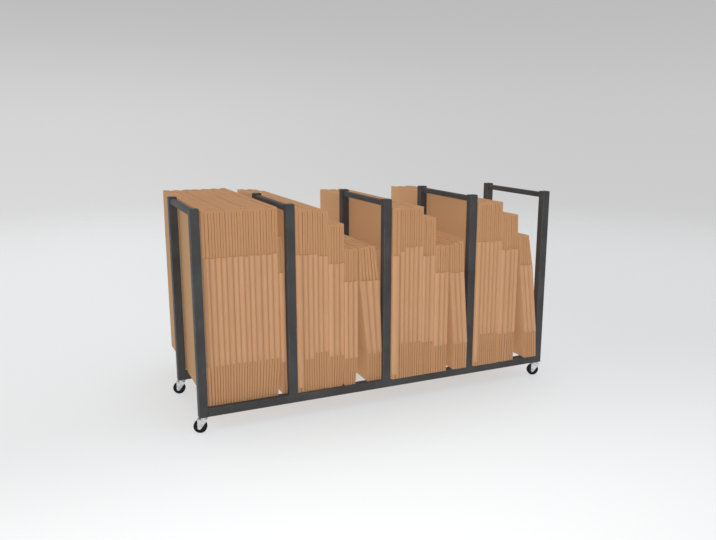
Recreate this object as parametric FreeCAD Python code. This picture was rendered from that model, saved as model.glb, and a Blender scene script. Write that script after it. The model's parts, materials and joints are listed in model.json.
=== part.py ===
# Sheet cart: a welded square-tube frame with five dividers, on four swivel casters,
# carrying flattened cartons that stand on edge in its four bays.
# Millimetres, +Z up, front towards -Y, floor at Z = 0, origin under the middle of the part's box.
import FreeCAD, Part
import math
import os
from typing import NamedTuple

Vector = FreeCAD.Vector

# Frame of square steel tube
TUBE = 40.0                 # side of the posts and the bottom rails
TUBE_WALL = 2.0
TUBE_CORNER = 4.0           # outside radius of the tube's edges
CROSS_TUBE = 25.0           # side of the top rail that joins a divider's two posts
CROSS_WALL = 1.5
CROSS_CORNER = 3.0
CROSS_DROP = 8.0            # top rail below the tops of its posts
FRAME_DEPTH = 545.0         # over the outer faces of the front and rear posts
POST_HEIGHT = 920.0         # underside of the bottom rails to the top of a post cap
BAY_PITCHES = (417.0, 476.0, 470.0, 437.0)

# Post caps and caster sockets
CAP_PLATE = 4.0
CAP_PLUG_DEPTH = 14.0
CAP_PLUG_GAP = 0.2          # between the plug and the tube's inner wall
CAP_BEVEL = 1.5
SOCKET_THICKNESS = 8.0      # threaded plate welded flush into the foot of a corner post
SOCKET_CORNER = 3.0

# Casters
CASTER_HEIGHT = 75.0        # floor to the underside of the frame
CASTER_TRAIL = 14.0         # wheel centre behind the swivel axis
CASTER_TURN = -20.0         # degrees about Z; all four casters trail towards -X and a little +Y
WHEEL_DIAMETER = 60.0
TYRE_WIDTH = 20.0
TYRE_ROUND = 4.0
TYRE_INNER_RADIUS = 21.0
RIM_WIDTH = 17.0
RIM_INNER_RADIUS = 17.0
WEB_WIDTH = 7.0
BOSS_WIDTH = 22.0
BOSS_RADIUS = 8.5
AXLE_RADIUS = 4.0
RUNNING_GAP = 0.05          # radial, between a shaft and the hole that turns on it
FORK_GAP = 24.0             # between the fork's two legs
FORK_STEEL = 2.0
FORK_CROWN_TOP = 65.0
FORK_CROWN_RADIUS = 16.0
FORK_TIP_RADIUS = 8.0
FORK_TIP_SHIFT = (-3.0, -4.0)   # leg's rounded tip from the axle, back and down
FORK_SHOULDER = 6.0         # straight edge under the crown before the leg slants back
BOLT_HEAD_RADIUS = 7.2
BOLT_HEAD_HEIGHT = 4.5
NUT_HEIGHT = 6.0
BOLT_END = 2.0              # thread past the nut
STUD_RADIUS = 5.0
STUD_LENGTH = 20.0
STEM_RADIUS = 6.0
STEM_FLANGE_RADIUS = 15.0
STEM_FLANGE = 3.6
RIVET_RADIUS = 9.0
RIVET_HEIGHT = 1.9
SWIVEL_GAP = 0.4            # between the fork and the stem's flange and rivet head
BALL_RADIUS = 2.0
BALL_COUNT = 12
BALL_GAP = 0.1
RACE_RADIUS = 11.0          # circle of ball centres
RACE_WIDTH = 6.0

# Flattened cartons
FOLD_NOSE = 0.24            # length of a fold's bevelled nose, as a share of the carton's thickness
FOLD_FLAT = 0.6             # flat front of that nose, as a share of the thickness
SLOT_SETBACK = 6.0          # flap edges behind the folds, where the slots are cut
PLY_SHARE = 0.455           # one ply of a flap, as a share of the carton's thickness
PLY_INSET = 0.02            # ply's outer face inside the body's face, as a share of the thickness
CARTON_GAP = 0.4            # between neighbours in one stack
HEIGHT_STEPS = (0.0, 2.0, 1.0, 3.0)     # small differences between neighbours, taken in turn
REAR_STEPS = (0.0, 8.0, 3.0, 12.0, 5.0)


class Stack(NamedTuple):
    """One group of like cartons, standing or leaning side by side in a bay.

    The lefts and spreads hold one value for each of four levels of a carton: its foot, its lower
    score, its upper score and its top.
    """
    lefts: tuple            # left edge of the first carton, from the first divider's middle
    steps: tuple            # thickness of each carton with the gap after it
    height: float           # flat height of the first carton
    upper_flap: float
    lower_flap: float
    front: float            # front folds, from the frame's mid-depth
    width: float            # flat width, front fold to rear fold
    spreads: tuple = (1.0, 1.0, 1.0, 1.0)   # how far the group is squeezed or fanned out
    rise: float = 0.0       # how much taller each carton is than the one before it
    low_last: int = 0       # how many of the last cartons are lower
    low_drop: float = 0.0
    odd_flaps: tuple = ()   # upper and lower flap of each of the first cartons, where they differ


def upright(left):
    """The same left edge at all four levels."""
    return (left,) * 4


STACKS = {
    "cartons_bay1_large": Stack(upright(28),
                                (31.5, 25.5, 24.5, 23, 28, 23.5, 25.5, 23, 23.5, 29.5, 27, 24.5, 27),
                                869, 204, 182, -257, 962, spreads=(0.955, 1, 1, 1)),
    "cartons_bay1_leaning": Stack((372.4, 369.4, 366.4, 364.8), (24.8,), 736, 163, 155, -250, 720,
                                  spreads=(1, 1.06, 1.06, 0.75)),
    "cartons_bay2_tall": Stack(upright(440.5), (35, 24, 24.5, 24.5, 23, 26), 855, 205, 184, -266, 1000,
                               low_last=2, low_drop=12,
                               odd_flaps=((205, 24), (205, 158), (205, 158))),
    "cartons_bay2_medium": Stack(upright(598), (27.5, 27, 22.5), 780, 182, 157, -268, 850,
                                 spreads=(0.85, 1, 1, 1)),
    "cartons_bay2_short": Stack(upright(675.5), (19, 27.5, 20.5), 662, 154, 135, -270, 720,
                                spreads=(0.82, 1, 1, 1)),
    "cartons_bay2_leaning": Stack((796.5, 796.5, 754.5, 750), (25.3, 25.3, 25.3), 661, 159, 142, -264, 720,
                                  spreads=(1, 1, 1.36, 1.1), rise=2.5),
    "cartons_bay3_tall": Stack(upright(917), (40, 23, 25.5, 22, 26, 24.3), 841, 190, 178, -287, 962,
                               odd_flaps=((228, 24), (208, 178))),
    "cartons_bay3_medium": Stack(upright(1078.2), (16, 25, 27), 785, 185, 168, -286, 850),
    "cartons_bay3_short": Stack(upright(1146.6), (28.3, 26.5, 21.2), 645, 133, 140, -287, 720),
    "cartons_bay3_leaning": Stack((1263, 1263, 1230, 1228), (26.4, 26.4, 26.4), 645, 141, 136, -287, 720,
                                  spreads=(1, 1, 1.03, 0.95), rise=8),
    "cartons_bay4_tall": Stack(upright(1384.5), (23.8, 23.5, 25, 24.5, 23, 23.5), 841, 194, 168, -288, 972,
                               odd_flaps=((194, 24),)),
    "cartons_bay4_medium": Stack(upright(1528.2), (28.5, 31.5, 23, 20), 774, 177, 155, -286, 850,
                                 spreads=(1, 1, 1, 0.92)),
    "cartons_bay4_leaning": Stack((1704, 1695.5, 1647, 1642), (23.3, 23.3, 28.5), 662, 156, 142, -287, 720,
                                  spreads=(1, 1, 1.05, 0.7)),
}

# Worked-out places; x counts from the first divider's middle and y from the frame's mid-depth
DIVIDER_X = tuple(sum(BAY_PITCHES[:index]) for index in range(len(BAY_PITCHES) + 1))
POST_Y = {"front": -(FRAME_DEPTH - TUBE) / 2, "rear": (FRAME_DEPTH - TUBE) / 2}
RAIL_TOP = CASTER_HEIGHT + TUBE
FRAME_TOP = CASTER_HEIGHT + POST_HEIGHT
TUBE_TOP = FRAME_TOP - CAP_PLATE
WHEEL_RADIUS = WHEEL_DIAMETER / 2
FORK_CROWN_BOTTOM = FORK_CROWN_TOP - FORK_STEEL
CASTER_CORNERS = {
    "front_left": (DIVIDER_X[0], POST_Y["front"]),
    "front_right": (DIVIDER_X[-1], POST_Y["front"]),
    "rear_left": (DIVIDER_X[0], POST_Y["rear"]),
    "rear_right": (DIVIDER_X[-1], POST_Y["rear"]),
}


def wheel_reach():
    """Farthest the turned wheel of a caster goes towards -X from its swivel axis."""
    turn = math.radians(abs(CASTER_TURN))
    flat_radius = WHEEL_RADIUS - TYRE_ROUND
    flat_half_width = TYRE_WIDTH / 2 - TYRE_ROUND
    return ((CASTER_TRAIL + flat_radius) * math.cos(turn)
            + flat_half_width * math.sin(turn) + TYRE_ROUND)


# Middle of the part's box on the floor
LOW_X = DIVIDER_X[0] - wheel_reach()
HIGH_X = DIVIDER_X[-1] + TUBE / 2
LOW_Y = min(stack.front for stack in STACKS.values())
HIGH_Y = max(stack.front + stack.width for stack in STACKS.values())
ORIGIN = Vector((LOW_X + HIGH_X) / 2, (LOW_Y + HIGH_Y) / 2, 0)


def block(low, high):
    """Box between two opposite corners."""
    size = [top - bottom for bottom, top in zip(low, high)]
    return Part.makeBox(*size, Vector(*low))


def rounded_block(low, high, axis, radius):
    """Box between two opposite corners, its four edges along axis 0, 1 or 2 rounded."""
    box = block(low, high)
    along = [edge for edge in box.Edges if abs(edge.tangentAt(edge.FirstParameter)[axis]) > 0.5]
    return box.makeFillet(radius, along)


def prism(points, along):
    """Closed polygon of points, extruded by a vector."""
    wire = Part.makePolygon([Vector(*point) for point in points + points[:1]])
    return Part.Face(wire).extrude(Vector(*along))


def slab(lower, upper):
    """Solid with flat sides between two level outlines of equally many points."""
    rings = [[Vector(*point) for point in outline] for outline in (lower, upper)]
    faces = [Part.Face(Part.makePolygon(ring + ring[:1])) for ring in rings]
    count = len(lower)
    for index in range(count):
        following = (index + 1) % count
        side = [rings[0][index], rings[0][following], rings[1][following], rings[1][index]]
        faces.append(Part.Face(Part.makePolygon(side + side[:1])))
    return Part.makeSolid(Part.makeShell(faces))


def rod(radius, low, high, at=(0.0, 0.0)):
    """Upright cylinder between two heights."""
    return Part.makeCylinder(radius, high - low, Vector(at[0], at[1], low))


def cross_rod(radius, low, high, at):
    """Cylinder along Y between two places, round a point (x, z)."""
    return Part.makeCylinder(radius, high - low, Vector(at[0], low, at[1]), Vector(0, 1, 0))


def hexagon(radius, low, high, at):
    """Six-sided block along Y between two places, round a point (x, z)."""
    corners = []
    for index in range(6):
        angle = math.radians(60 * index)
        corners.append((at[0] + radius * math.cos(angle), low, at[1] + radius * math.sin(angle)))
    return prism(corners, (0, high - low, 0))


def turned(profile, at):
    """Ring swept round a line along Y through (x, z); profile holds (radius, y) points."""
    points = [(at[0] + radius, y, at[1]) for radius, y in profile]
    wire = Part.makePolygon([Vector(*point) for point in points + points[:1]])
    return Part.Face(wire).revolve(Vector(at[0], 0, at[1]), Vector(0, 1, 0), 360)


def tube(low, high, axis, wall, corner):
    """Square tube, open at both ends, between two corners along axis 0, 1 or 2."""
    inner_low = [value if index == axis else value + wall for index, value in enumerate(low)]
    inner_high = [value if index == axis else value - wall for index, value in enumerate(high)]
    outside = rounded_block(low, high, axis, corner)
    return outside.cut(rounded_block(inner_low, inner_high, axis, corner - wall))


def post(x, y, bottom):
    """Upright tube centred on (x, y), up to the underside of its cap."""
    half = TUBE / 2
    low = (x - half, y - half, bottom)
    return tube(low, (x + half, y + half, TUBE_TOP), 2, TUBE_WALL, TUBE_CORNER)


def bottom_rail(y):
    """Long rail between the two corner posts of one side."""
    half = TUBE / 2
    low = (DIVIDER_X[0] + half, y - half, CASTER_HEIGHT)
    high = (DIVIDER_X[-1] - half, y + half, RAIL_TOP)
    return tube(low, high, 0, TUBE_WALL, TUBE_CORNER)


def top_rail(x):
    """Thinner tube that joins the tops of a divider's front and rear posts."""
    half = CROSS_TUBE / 2
    top = FRAME_TOP - CROSS_DROP
    low = (x - half, POST_Y["front"] + TUBE / 2, top - CROSS_TUBE)
    high = (x + half, POST_Y["rear"] - TUBE / 2, top)
    return tube(low, high, 1, CROSS_WALL, CROSS_CORNER)


def post_cap(x, y):
    """Bevelled plastic cap with a plug that goes down into the post."""
    half = TUBE / 2
    plate = rounded_block((x - half, y - half, TUBE_TOP), (x + half, y + half, FRAME_TOP), 2, TUBE_CORNER)
    upper_edges = [edge for edge in plate.Edges if edge.BoundBox.ZMin > TUBE_TOP]
    plate = plate.makeChamfer(CAP_BEVEL, upper_edges)
    plug_half = half - TUBE_WALL - CAP_PLUG_GAP
    plug = rounded_block((x - plug_half, y - plug_half, TUBE_TOP - CAP_PLUG_DEPTH),
                         (x + plug_half, y + plug_half, TUBE_TOP), 2, TUBE_CORNER - TUBE_WALL)
    return plate.fuse(plug).removeSplitter()


def caster_socket(x, y):
    """Threaded plate that closes the foot of a corner post and takes a caster's stud."""
    half = TUBE / 2 - TUBE_WALL
    top = CASTER_HEIGHT + SOCKET_THICKNESS
    plate = rounded_block((x - half, y - half, CASTER_HEIGHT), (x + half, y + half, top), 2, SOCKET_CORNER)
    return plate.cut(rod(STUD_RADIUS, CASTER_HEIGHT, top, (x, y)))


def caster_stem():
    """Stud, flange and riveted kingpin, fixed to the frame."""
    stud = rod(STUD_RADIUS, CASTER_HEIGHT, CASTER_HEIGHT + STUD_LENGTH)
    flange = rod(STEM_FLANGE_RADIUS, CASTER_HEIGHT - STEM_FLANGE, CASTER_HEIGHT)
    rivet_top = FORK_CROWN_BOTTOM - SWIVEL_GAP
    kingpin = rod(STEM_RADIUS, rivet_top, CASTER_HEIGHT - STEM_FLANGE)
    rivet = rod(RIVET_RADIUS, rivet_top - RIVET_HEIGHT, rivet_top)
    return stud.multiFuse([flange, kingpin, rivet]).removeSplitter()


def fork_leg(inner_y, outer_y):
    """Flat leg that slants back from the crown to its rounded tip at the axle."""
    tip = (-CASTER_TRAIL + FORK_TIP_SHIFT[0], WHEEL_RADIUS + FORK_TIP_SHIFT[1])
    shoulder = FORK_CROWN_BOTTOM - FORK_SHOULDER
    front = FORK_CROWN_RADIUS
    slope = math.atan2(shoulder - tip[1], front - tip[0])
    reach = math.hypot(front - tip[0], shoulder - tip[1])
    tangent = slope - math.acos(FORK_TIP_RADIUS / reach)
    touch = (tip[0] + FORK_TIP_RADIUS * math.cos(tangent),
             tip[1] + FORK_TIP_RADIUS * math.sin(tangent))
    back = tip[0] - FORK_TIP_RADIUS
    outline = [(back, tip[1]), tip, touch, (front, shoulder),
               (front, FORK_CROWN_TOP), (back, FORK_CROWN_TOP)]
    plate = prism([(x, inner_y, z) for x, z in outline], (0, outer_y - inner_y, 0))
    return plate.fuse(cross_rod(FORK_TIP_RADIUS, min(inner_y, outer_y), max(inner_y, outer_y), tip))


def caster_fork():
    """Pressed steel fork: a crown over the wheel and two legs down to the axle."""
    half_gap = FORK_GAP / 2
    half_width = half_gap + FORK_STEEL
    back = -CASTER_TRAIL + FORK_TIP_SHIFT[0] - FORK_TIP_RADIUS
    crown = block((back, -half_width, FORK_CROWN_BOTTOM),
                  (FORK_CROWN_RADIUS, half_width, FORK_CROWN_TOP))
    near = fork_leg(-half_width, -half_gap)
    far = fork_leg(half_gap, half_width)
    fork = crown.multiFuse([near, far]).removeSplitter()
    kingpin_hole = rod(STEM_RADIUS + RUNNING_GAP, FORK_CROWN_BOTTOM, FORK_CROWN_TOP)
    axle_hole = cross_rod(AXLE_RADIUS, -half_width, half_width, (-CASTER_TRAIL, WHEEL_RADIUS))
    return fork.cut(kingpin_hole).cut(axle_hole)


def caster_bearing():
    """Grooved race ring on the fork's crown and the ring of balls that carries the stem's flange."""
    flange_bottom = CASTER_HEIGHT - STEM_FLANGE
    ball_top = flange_bottom - BALL_GAP
    ball_height = ball_top - BALL_RADIUS
    race_top = ball_height
    outer = rod(RACE_RADIUS + RACE_WIDTH / 2, FORK_CROWN_TOP, race_top)
    race = outer.cut(rod(RACE_RADIUS - RACE_WIDTH / 2, FORK_CROWN_TOP, race_top))
    groove = Part.makeTorus(RACE_RADIUS, BALL_RADIUS + BALL_GAP, Vector(0, 0, ball_height))
    pieces = [race.cut(groove)]
    for index in range(BALL_COUNT):
        angle = 2 * math.pi * index / BALL_COUNT
        centre = Vector(RACE_RADIUS * math.cos(angle), RACE_RADIUS * math.sin(angle), ball_height)
        pieces.append(Part.makeSphere(BALL_RADIUS, centre))
    return Part.makeCompound(pieces)


def caster_axle():
    """Hexagon bolt through the fork and the wheel, with its nut."""
    at = (-CASTER_TRAIL, WHEEL_RADIUS)
    half_width = FORK_GAP / 2 + FORK_STEEL
    nut_end = half_width + NUT_HEIGHT
    shank = cross_rod(AXLE_RADIUS, -half_width, nut_end + BOLT_END, at)
    head = hexagon(BOLT_HEAD_RADIUS, -half_width - BOLT_HEAD_HEIGHT, -half_width, at)
    nut = hexagon(BOLT_HEAD_RADIUS, half_width, nut_end, at)
    nut = nut.cut(cross_rod(AXLE_RADIUS, half_width, nut_end, at))
    return Part.makeCompound([shank.fuse(head), nut])


def wheel_hub():
    """Moulded wheel centre: a boss that turns on the axle, a thin web and a rim."""
    bore = AXLE_RADIUS + RUNNING_GAP
    boss, web, rim = BOSS_WIDTH / 2, WEB_WIDTH / 2, RIM_WIDTH / 2
    half_section = [(bore, boss), (BOSS_RADIUS, boss), (BOSS_RADIUS, web), (RIM_INNER_RADIUS, web),
                    (RIM_INNER_RADIUS, rim), (TYRE_INNER_RADIUS, rim)]
    mirrored = [(radius, -y) for radius, y in reversed(half_section)]
    return turned(half_section + mirrored, (-CASTER_TRAIL, WHEEL_RADIUS))


def wheel_tyre():
    """Solid tyre with rounded shoulders."""
    at = (-CASTER_TRAIL, WHEEL_RADIUS)
    half = TYRE_WIDTH / 2
    ring = cross_rod(WHEEL_RADIUS, -half, half, at)
    shoulders = [edge for edge in ring.Edges if isinstance(edge.Curve, Part.Circle)]
    ring = ring.makeFillet(TYRE_ROUND, shoulders)
    return ring.cut(cross_rod(TYRE_INNER_RADIUS, -half, half, at))


CASTER_PIECES = {
    "stem": caster_stem,
    "fork": caster_fork,
    "bearing": caster_bearing,
    "axle": caster_axle,
    "hub": wheel_hub,
    "tyre": wheel_tyre,
}


def fold_plan(level, front, rear):
    """Outline of a carton's body at one (left, thickness, height), with bevelled folds at both ends."""
    left, thickness, height = level
    nose = FOLD_NOSE * thickness
    flat_low = left + (1 - FOLD_FLAT) / 2 * thickness
    flat_high = flat_low + FOLD_FLAT * thickness
    right = left + thickness
    plan = [(flat_low, front), (flat_high, front), (right, front + nose), (right, rear - nose),
            (flat_high, rear), (flat_low, rear), (left, rear - nose), (left, front + nose)]
    return [(x, y, height) for x, y in plan]


def ply_plan(level, inset, front, rear):
    """Outline of one ply of a flap at one (left, thickness, height); inset is a share of the thickness."""
    left, thickness, height = level
    low = left + inset * thickness
    high = low + PLY_SHARE * thickness
    plan = [(low, front), (high, front), (high, rear), (low, rear)]
    return [(x, y, height) for x, y in plan]


def carton(stack, index):
    """Flattened carton of a stack, in its place.

    Between its score lines it is a flat body with bevelled folds; above and below, each flap
    is two plies set back from the folds by the slots. A leaning carton bends at its scores.
    """
    rear = stack.front + stack.width - REAR_STEPS[index % len(REAR_STEPS)]
    height = stack.height + stack.rise * index - HEIGHT_STEPS[index % len(HEIGHT_STEPS)]
    if index >= len(stack.steps) - stack.low_last:
        height -= stack.low_drop
    upper_flap, lower_flap = stack.upper_flap + stack.rise * index, stack.lower_flap
    if index < len(stack.odd_flaps):
        upper_flap, lower_flap = stack.odd_flaps[index]
    offset = sum(stack.steps[:index])
    thickness = stack.steps[index] - CARTON_GAP
    levels = []
    for left, spread, rise in zip(stack.lefts, stack.spreads, (0, lower_flap, height - upper_flap, height)):
        levels.append((left + spread * offset, spread * thickness, RAIL_TOP + rise))
    foot, lower_score, upper_score, top = levels
    body = slab(fold_plan(lower_score, stack.front, rear), fold_plan(upper_score, stack.front, rear))
    flap_ends = (stack.front + SLOT_SETBACK, rear - SLOT_SETBACK)
    flaps = []
    for inset in (PLY_INSET, 1 - PLY_INSET - PLY_SHARE):
        for low, high in ((foot, lower_score), (upper_score, top)):
            flaps.append(slab(ply_plan(low, inset, *flap_ends), ply_plan(high, inset, *flap_ends)))
    return body.multiFuse(flaps).removeSplitter()


def carton_stack(stack):
    """Cartons side by side on the two bottom rails."""
    return Part.makeCompound([carton(stack, index) for index in range(len(stack.steps))])


def frame_nodes():
    """Tubes, caps and sockets of the welded frame, by node name."""
    nodes = {}
    caps = []
    last = len(DIVIDER_X) - 1
    for side, y in POST_Y.items():
        nodes[f"{side}_rail"] = bottom_rail(y)
        for index, x in enumerate(DIVIDER_X):
            at_corner = index in (0, last)
            nodes[f"{side}_post_{index + 1}"] = post(x, y, CASTER_HEIGHT if at_corner else RAIL_TOP)
            caps.append(post_cap(x, y))
    for index, x in enumerate(DIVIDER_X):
        nodes[f"top_rail_{index + 1}"] = top_rail(x)
    nodes["post_caps"] = Part.makeCompound(caps)
    sockets = [caster_socket(*corner) for corner in CASTER_CORNERS.values()]
    nodes["caster_sockets"] = Part.makeCompound(sockets)
    return nodes


def caster_nodes():
    """The pieces of the four casters, by node name."""
    nodes = {}
    for corner, (x, y) in CASTER_CORNERS.items():
        for piece_name, make in CASTER_PIECES.items():
            piece = make()
            piece.rotate(Vector(0, 0, 0), Vector(0, 0, 1), CASTER_TURN)
            piece.translate(Vector(x, y, 0))
            nodes[f"caster_{corner}_{piece_name}"] = piece
    return nodes


def all_nodes():
    """Every node of the part in its final place."""
    nodes = frame_nodes()
    nodes.update(caster_nodes())
    for name, stack in STACKS.items():
        nodes[name] = carton_stack(stack)
    for shape in nodes.values():
        shape.translate(-ORIGIN)
    return nodes


NODES = all_nodes()
os.makedirs("parts", exist_ok=True)
for node_name, node_shape in NODES.items():
    node_shape.exportStep(os.path.join("parts", node_name + ".step"))
print(len(NODES), "nodes", sum(len(shape.Solids) for shape in NODES.values()), "solids")
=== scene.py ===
"""Looks of a sheet cart: a welded square-tube frame on casters, loaded with flattened cartons."""

import json
import logging
import math
import random
from collections.abc import Callable, Sequence
from dataclasses import dataclass, field, replace
from enum import Enum
from typing import Any

import bmesh
import bpy
import numpy as np
from bmesh.types import BMEdge, BMesh, BMFace
from bpy_extras.mesh_utils import mesh_linked_triangles
from mathutils import Matrix, Vector, noise


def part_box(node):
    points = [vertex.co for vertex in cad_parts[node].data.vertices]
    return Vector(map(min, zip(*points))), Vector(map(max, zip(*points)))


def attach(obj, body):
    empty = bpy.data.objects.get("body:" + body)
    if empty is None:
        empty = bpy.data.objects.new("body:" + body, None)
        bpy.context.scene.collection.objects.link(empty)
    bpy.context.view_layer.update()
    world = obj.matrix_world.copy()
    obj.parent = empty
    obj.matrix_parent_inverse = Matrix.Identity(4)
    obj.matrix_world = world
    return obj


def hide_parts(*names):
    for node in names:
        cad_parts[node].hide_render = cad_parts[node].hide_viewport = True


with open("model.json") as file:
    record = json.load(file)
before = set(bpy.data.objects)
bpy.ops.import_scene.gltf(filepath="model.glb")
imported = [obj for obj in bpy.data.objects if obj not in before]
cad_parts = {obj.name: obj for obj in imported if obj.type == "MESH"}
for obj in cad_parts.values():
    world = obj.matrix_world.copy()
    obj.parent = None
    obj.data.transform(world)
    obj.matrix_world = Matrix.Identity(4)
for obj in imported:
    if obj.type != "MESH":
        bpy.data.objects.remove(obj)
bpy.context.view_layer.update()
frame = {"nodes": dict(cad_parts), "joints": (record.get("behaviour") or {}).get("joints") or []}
LOG = logging.getLogger("sheet_cart")
CASTER_CORNERS = ("front_left", "front_right", "rear_left", "rear_right")
# The stack whose left side is the outside of the whole load
OUTER_STACK = "cartons_bay1_large"

MM = 0.001
# Distances under which two places count as one, and corners are merged
CLOSE = 0.2 * MM
MERGE_GAP = 0.01 * MM
# Least cosine of an edge that runs along a direction, and of a face that looks that way or half does
PARALLEL = 0.99
FACING = 0.9
HALF_FACING = 0.5
# Angles, in degrees: below the first faces count as flat, above the others edges get rounded or look sharp
FLAT_ANGLE = 1.0
ROUNDED_ANGLE = 50.0
SHARP_ANGLE = 40.0
# Faces across a small rounded edge
SOFT_STEPS = 2
# Thickness of a carton's flaps, as a share of the carton's own
FLAP_REACH = 0.96
# Length of the noise that cartons take their dents and waves from
NOISE_SPAN = 100

Colour = tuple[float, float, float, float]
Span = tuple[float, float]


def colour(red: int, green: int, blue: int) -> Colour:
    """Turns a colour as seen on a screen into the linear colour that a shader takes.

    Args:
        red: Red, 0 to 255.
        green: Green, 0 to 255.
        blue: Blue, 0 to 255.

    Returns:
        Linear red, green, blue and an alpha of 1.
    """
    linear = []
    for value in (red, green, blue):
        share = value / 255
        linear.append(share / 12.92 if share <= 0.04045 else ((share + 0.055) / 1.055) ** 2.4)
    return (linear[0], linear[1], linear[2], 1.0)


def grey(level: float) -> Colour:
    """Grey of a linear level from 0 to 1."""
    return (level, level, level, 1.0)


# Shader maths

class Level:
    """A number that varies over a surface; arithmetic on it adds Math nodes."""

    def __init__(self, kit: "NodeKit", socket: bpy.types.NodeSocket) -> None:
        """Wraps an output socket of a node tree."""
        self.kit = kit
        self.socket = socket

    def __add__(self, other: "Level | float") -> "Level":
        """Sum."""
        return self.kit.math("ADD", self, other)

    def __sub__(self, other: "Level | float") -> "Level":
        """Difference."""
        return self.kit.math("SUBTRACT", self, other)

    def __rsub__(self, other: float) -> "Level":
        """Difference with a plain number first."""
        return self.kit.math("SUBTRACT", other, self)

    def __mul__(self, other: "Level | float") -> "Level":
        """Product."""
        return self.kit.math("MULTIPLY", self, other)

    __radd__ = __add__
    __rmul__ = __mul__

    def __abs__(self) -> "Level":
        """Distance from zero."""
        return self.kit.math("ABSOLUTE", self)

    def sine(self) -> "Level":
        """Sine of the level, in radians."""
        return self.kit.math("SINE", self)

    def at_least(self, other: "Level | float") -> "Level":
        """The larger of two levels."""
        return self.kit.math("MAXIMUM", self, other)

    def rise(self, low: float, high: float) -> "Level":
        """Smooth step of the level.

        Args:
            low: Level at which the step starts.
            high: Level at which it has risen to 1.

        Returns:
            A level from 0 to 1.
        """
        made = self.kit.node("ShaderNodeMapRange", {"interpolation_type": "SMOOTHSTEP"},
                             {"Value": self, "From Min": low, "From Max": high})
        return Level(self.kit, made.outputs["Result"])

    def band(self, middle: "Level | float", half: float, soft: float) -> "Level":
        """Mask of a line.

        Args:
            middle: Level at the middle of the line.
            half: Half of the line's width.
            soft: Width over which it fades.

        Returns:
            A level that is 1 on the line and 0 away from it.
        """
        return 1.0 - abs(self - middle).rise(half, half + soft)


class NodeKit:
    """A node tree and the ways to add to it."""
    # Places of the colour sockets of a Mix node, whose names other sockets have too
    MIX_SHARE = 0
    MIX_BASE = 6
    MIX_OVER = 7
    MIX_RESULT = 2

    def __init__(self, tree: bpy.types.NodeTree) -> None:
        """Takes over a node tree and empties it."""
        self.tree = tree
        self.tree.nodes.clear()

    def node(self, kind: str, settings: dict[str, Any] | None = None,
             sockets: dict[str | int, Any] | None = None) -> bpy.types.Node:
        """Adds a node.

        Args:
            kind: Type of the node.
            settings: Its own properties, set first.
            sockets: Values or links of its inputs, by name or place.

        Returns:
            The new node.
        """
        made = self.tree.nodes.new(kind)
        for name, value in (settings or {}).items():
            setattr(made, name, value)
        for key, value in (sockets or {}).items():
            self.feed(made.inputs[key], value)
        return made

    def feed(self, socket: bpy.types.NodeSocket, value: Any) -> None:
        """Links a level or an output to an input, or sets the input's own value.

        Args:
            socket: The input.
            value: A level, an output socket or a plain value.
        """
        if isinstance(value, Level):
            value = value.socket
        if isinstance(value, bpy.types.NodeSocket):
            self.tree.links.new(value, socket)
        else:
            socket.default_value = value

    def math(self, operation: str, *operands: "Level | float") -> Level:
        """Adds a Math node on one or two operands."""
        made = self.node("ShaderNodeMath", {"operation": operation}, dict(enumerate(operands)))
        return Level(self, made.outputs["Value"])

    def parts(self, vector: bpy.types.NodeSocket) -> tuple[Level, Level, Level]:
        """The three numbers of a vector."""
        made = self.node("ShaderNodeSeparateXYZ", sockets={"Vector": vector})
        return Level(self, made.outputs["X"]), Level(self, made.outputs["Y"]), Level(self, made.outputs["Z"])

    def tint(self, share: "Level | float", base: Any, over: Any) -> bpy.types.NodeSocket:
        """Mixes two colours by a share from 0 to 1."""
        sockets = {self.MIX_SHARE: share, self.MIX_BASE: base, self.MIX_OVER: over}
        return self.node("ShaderNodeMix", {"data_type": "RGBA"}, sockets).outputs[self.MIX_RESULT]

    def layers(self, base: Any, *coats: tuple[Level | float, Any]) -> Any:
        """Lays colours over one another.

        Args:
            base: Colour at the bottom.
            coats: Share, from 0 to 1, and colour of each coat, from below.

        Returns:
            The mixed colour.
        """
        for share, over in coats:
            base = self.tint(share, base, over)
        return base


@dataclass(frozen=True)
class Blotches:
    """Noise over a surface.

    The size is in metres and the detail in octaves of finer noise. Over a step the noise goes from 0 to 1.
    The stretch says how many times finer it is along X, Y and Z.
    """
    size: float
    detail: float = 2.0
    step: Span | None = None
    stretch: tuple[float, float, float] | None = None


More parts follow.
